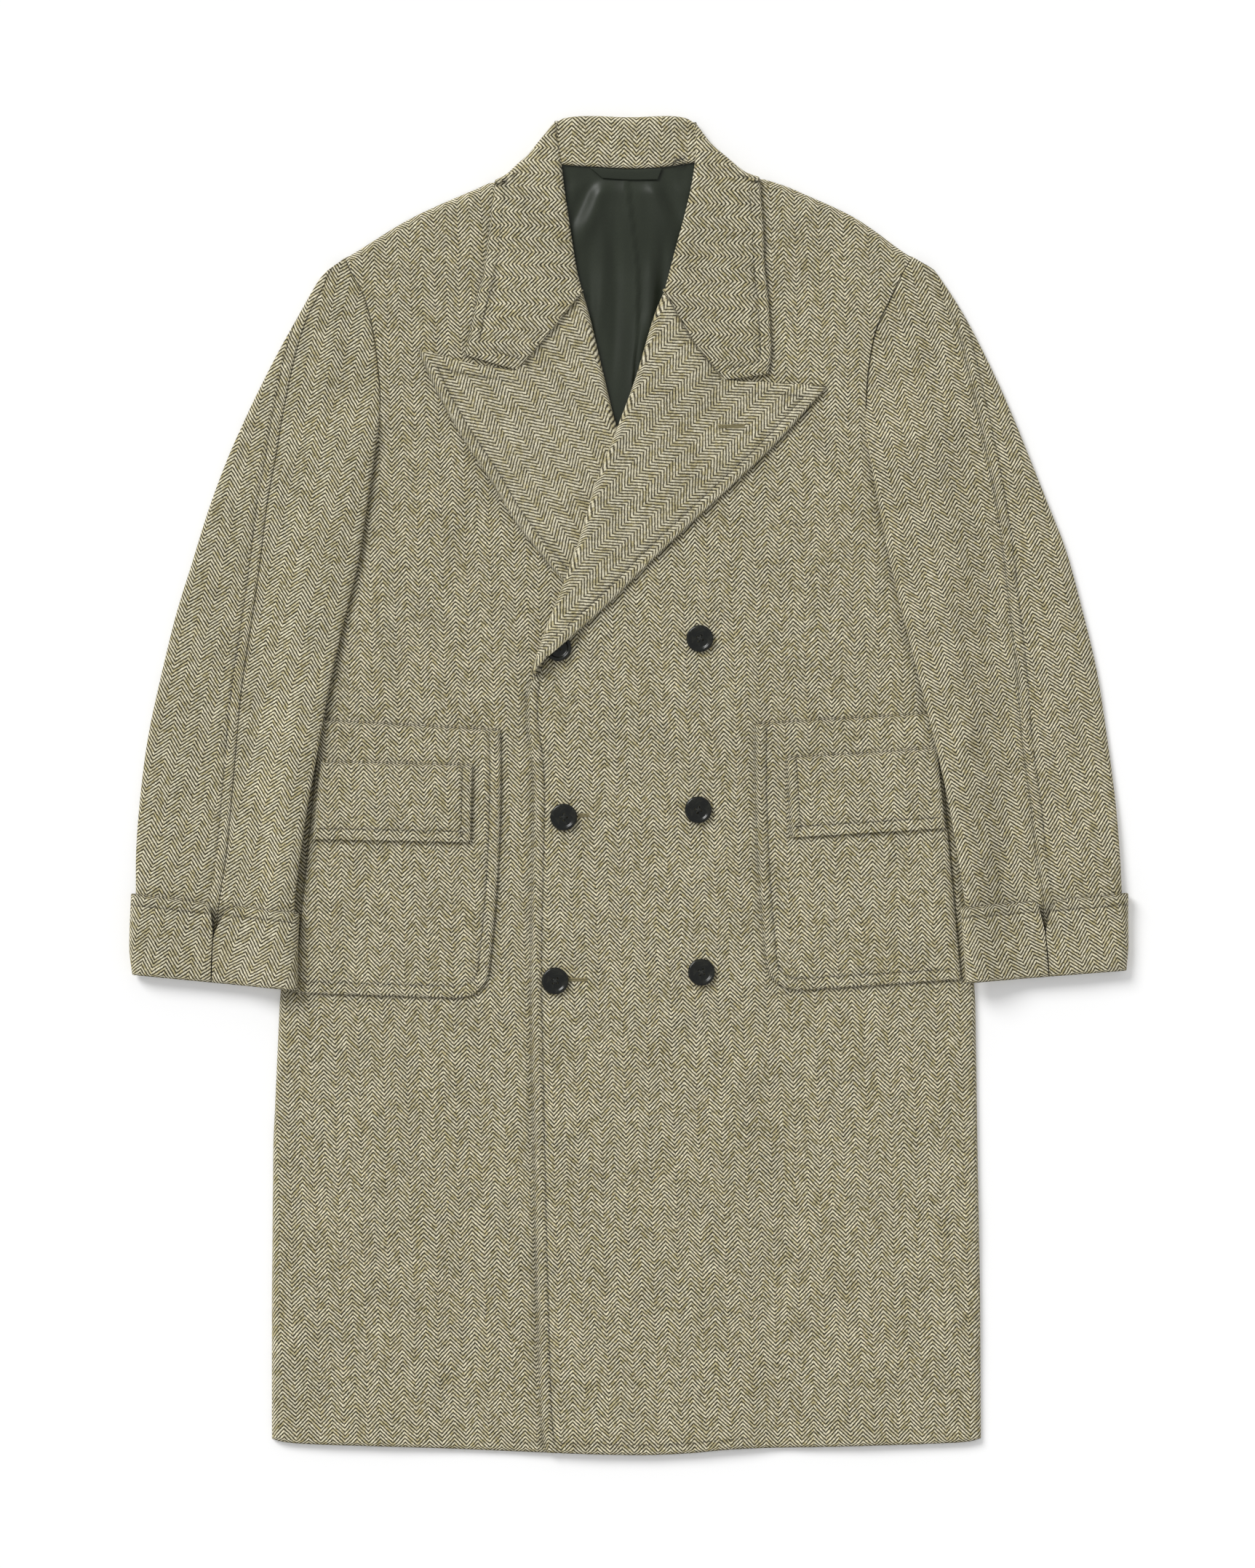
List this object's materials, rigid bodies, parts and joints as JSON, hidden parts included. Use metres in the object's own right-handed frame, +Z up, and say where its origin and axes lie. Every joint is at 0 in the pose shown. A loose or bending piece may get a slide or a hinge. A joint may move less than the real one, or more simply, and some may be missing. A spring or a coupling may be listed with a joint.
{
  "type": "double-breasted coat",
  "caption": "Long double-breasted coat laid flat and buttoned, with peak lapels, turn-down collar, flapped patch pockets and turned-back cuffs",
  "frame": {"origin": "middle of the bounding box's base, on the surface that the coat lies on", "axes": "+X to the wearer's left, +Y from hem to neck, +Z up out of the surface"},
  "size_m": [0.9205, 1.2344, 0.0262],
  "materials": {
    "tweed": "heavy herringbone wool, cream, khaki and dark olive yarns, matt",
    "lining": "dark green satin",
    "button": "polished near-black green, four holes"
  },
  "bodies": {
    "root": {"back": "tweed", "collar_stand": "tweed", "collar_leaf": "tweed", "front_right": "tweed", "front_left": "tweed", "lapel_right": "tweed", "lapel_left": "tweed", "pocket_right": "tweed", "pocket_left": "tweed", "flap_right": "tweed", "flap_left": "tweed", "sleeve_right_inner": "tweed", "cuff_right_inner": "tweed", "sleeve_right_outer": "tweed", "cuff_right_outer": "tweed", "sleeve_left_inner": "tweed", "cuff_left_inner": "tweed", "sleeve_left_outer": "tweed", "cuff_left_outer": "tweed", "back_lining": "lining", "neck_tab": "lining", "button_1": "button", "button_2": "button", "button_3": "button", "button_4": "button", "button_5": "button", "button_6": "button"}
  },
  "joints": []
}
